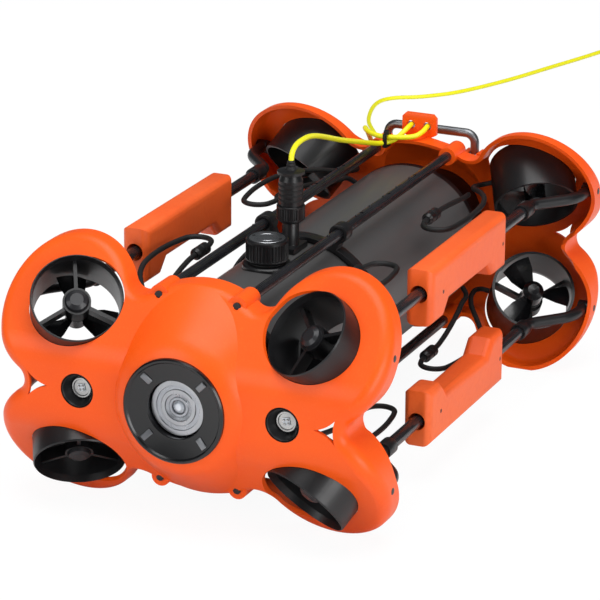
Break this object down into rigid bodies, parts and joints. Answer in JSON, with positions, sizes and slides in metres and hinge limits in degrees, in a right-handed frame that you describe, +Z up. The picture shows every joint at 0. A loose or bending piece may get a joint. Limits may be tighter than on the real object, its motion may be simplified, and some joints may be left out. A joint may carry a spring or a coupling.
{
  "type": "underwater inspection rov",
  "caption": "Tethered underwater inspection vehicle: round hull between two moulded end shells with ducted thrusters, side floats on rails, camera window, tow bail and loose tether.",
  "frame": {"origin": "on the surface the vehicle stands on, midway along and midway across the vehicle", "axes": "+Z up, +X to port, +Y towards the stern; the camera window faces -Y"},
  "size_m": [0.4423, 1.4401, 0.2298],
  "materials": {
    "orange_shell": "satin moulded plastic",
    "orange_foam": "skinned buoyancy foam, satin",
    "black_plastic": "satin black",
    "black_gloss": "polished black",
    "hull_black": "glossy hard anodised",
    "rail_black": "satin anodised tube",
    "motor_black": "potted and coated",
    "grey_metal": "bead blasted",
    "cap_grey": "turned, satin",
    "steel": "brushed",
    "window": "clear",
    "lamp_lens": "clear moulded lens over a pale emitter",
    "seal_rubber": "matte",
    "tether_yellow": "satin jacket",
    "board_green": "coated boards",
    "cell_grey": "wrapped cells"
  },
  "bodies": {
    "vehicle": {"arms_front": "black_plastic", "arms_rear": "black_plastic", "bail_mounts": "orange_shell", "bail_pins": "steel", "battery_pack": "cell_grey", "bottom_rails": "rail_black", "camera_module": "black_plastic", "control_boards": "board_green", "duct_front_port_lower": "black_plastic", "duct_front_port_upper": "black_plastic", "duct_front_starboard_lower": "black_plastic", "duct_front_starboard_upper": "black_plastic", "duct_rear_port_lower": "black_plastic", "duct_rear_port_upper": "black_plastic", "duct_rear_starboard_lower": "black_plastic", "duct_rear_starboard_upper": "black_plastic", "electronics_chassis": "black_plastic", "float_port_lower": "orange_foam", "float_port_upper": "orange_foam", "float_starboard_lower": "orange_foam", "float_starboard_upper": "orange_foam", "front_end_cap": "black_plastic", "front_shell": "orange_shell", "hull_clamp": "black_plastic", "hull_front_tube": "hull_black", "hull_joint_ring": "black_plastic", "hull_rear_tube": "hull_black", "lead_connectors": "black_plastic", "light_housings": "black_plastic", "light_lenses": "lamp_lens", "motors_front": "motor_black", "motors_rear": "motor_black", "port_base": "black_plastic", "port_seal": "seal_rubber", "rear_end_cap": "black_plastic", "rear_shell": "orange_shell", "side_rails": "rail_black", "tether": "tether_yellow", "tether_coil": "tether_yellow", "tether_connector": "black_plastic", "tether_lug": "orange_shell", "tether_plug": "black_plastic", "tether_socket": "black_plastic", "tether_tie": "black_plastic", "thruster_leads": "seal_rubber", "top_rails": "rail_black", "window_bezel": "black_gloss", "window_glass": "window"},
    "propeller_front_port_upper": {"propeller_front_port_upper": "black_gloss"},
    "propeller_front_port_lower": {"propeller_front_port_lower": "black_gloss"},
    "propeller_front_starboard_upper": {"propeller_front_starboard_upper": "black_gloss"},
    "propeller_front_starboard_lower": {"propeller_front_starboard_lower": "black_gloss"},
    "propeller_rear_port_upper": {"propeller_rear_port_upper": "black_gloss"},
    "propeller_rear_port_lower": {"propeller_rear_port_lower": "black_gloss"},
    "propeller_rear_starboard_upper": {"propeller_rear_starboard_upper": "black_gloss"},
    "propeller_rear_starboard_lower": {"propeller_rear_starboard_lower": "black_gloss"},
    "port_cap": {"port_cap": "cap_grey"},
    "plug_collar": {"plug_collar": "black_plastic"},
    "tow_bail": {"tow_bail": "grey_metal"},
    "battery_cap": {"battery_cap": "black_plastic"}
  },
  "joints": [
    {"name": "propeller_front_port_upper_spin", "type": "hinge", "parent": "vehicle", "child": "propeller_front_port_upper", "pos_m": [0.0867, -0.2195, 0.1563], "axis": [-0.3661, -0.6619, 0.6541], "continuous": true},
    {"name": "propeller_front_port_lower_spin", "type": "hinge", "parent": "vehicle", "child": "propeller_front_port_lower", "pos_m": [0.0867, -0.2195, 0.0337], "axis": [-0.3661, -0.6619, -0.6541], "continuous": true},
    {"name": "propeller_front_starboard_upper_spin", "type": "hinge", "parent": "vehicle", "child": "propeller_front_starboard_upper", "pos_m": [-0.0867, -0.2195, 0.1563], "axis": [0.3661, -0.6619, 0.6541], "continuous": true},
    {"name": "propeller_front_starboard_lower_spin", "type": "hinge", "parent": "vehicle", "child": "propeller_front_starboard_lower", "pos_m": [-0.0867, -0.2195, 0.0337], "axis": [0.3661, -0.6619, -0.6541], "continuous": true},
    {"name": "propeller_rear_port_upper_spin", "type": "hinge", "parent": "vehicle", "child": "propeller_rear_port_upper", "pos_m": [0.0867, 0.2195, 0.1563], "axis": [-0.3661, 0.6619, 0.6541], "continuous": true},
    {"name": "propeller_rear_port_lower_spin", "type": "hinge", "parent": "vehicle", "child": "propeller_rear_port_lower", "pos_m": [0.0867, 0.2195, 0.0337], "axis": [-0.3661, 0.6619, -0.6541], "continuous": true},
    {"name": "propeller_rear_starboard_upper_spin", "type": "hinge", "parent": "vehicle", "child": "propeller_rear_starboard_upper", "pos_m": [-0.0867, 0.2195, 0.1563], "axis": [0.3661, 0.6619, 0.6541], "continuous": true},
    {"name": "propeller_rear_starboard_lower_spin", "type": "hinge", "parent": "vehicle", "child": "propeller_rear_starboard_lower", "pos_m": [-0.0867, 0.2195, 0.0337], "axis": [0.3661, 0.6619, -0.6541], "continuous": true},
    {"name": "port_cap_turn", "type": "hinge", "parent": "vehicle", "child": "port_cap", "pos_m": [0, -0.0914, 0.17], "axis": [0, 0, 1], "continuous": true},
    {"name": "plug_collar_turn", "type": "hinge", "parent": "vehicle", "child": "plug_collar", "pos_m": [0, -0.05, 0.18], "axis": [0, 0, 1], "range_deg": [0, 90]},
    {"name": "tow_bail_swing", "type": "hinge", "parent": "vehicle", "child": "tow_bail", "pos_m": [0, 0.225, 0.151], "axis": [-1, 0, 0], "range_deg": [-15, 80]},
    {"name": "battery_cap_turn", "type": "hinge", "parent": "vehicle", "child": "battery_cap", "pos_m": [0, 0.235, 0.095], "axis": [0, 1, 0], "range_deg": [0, 90]}
  ]
}
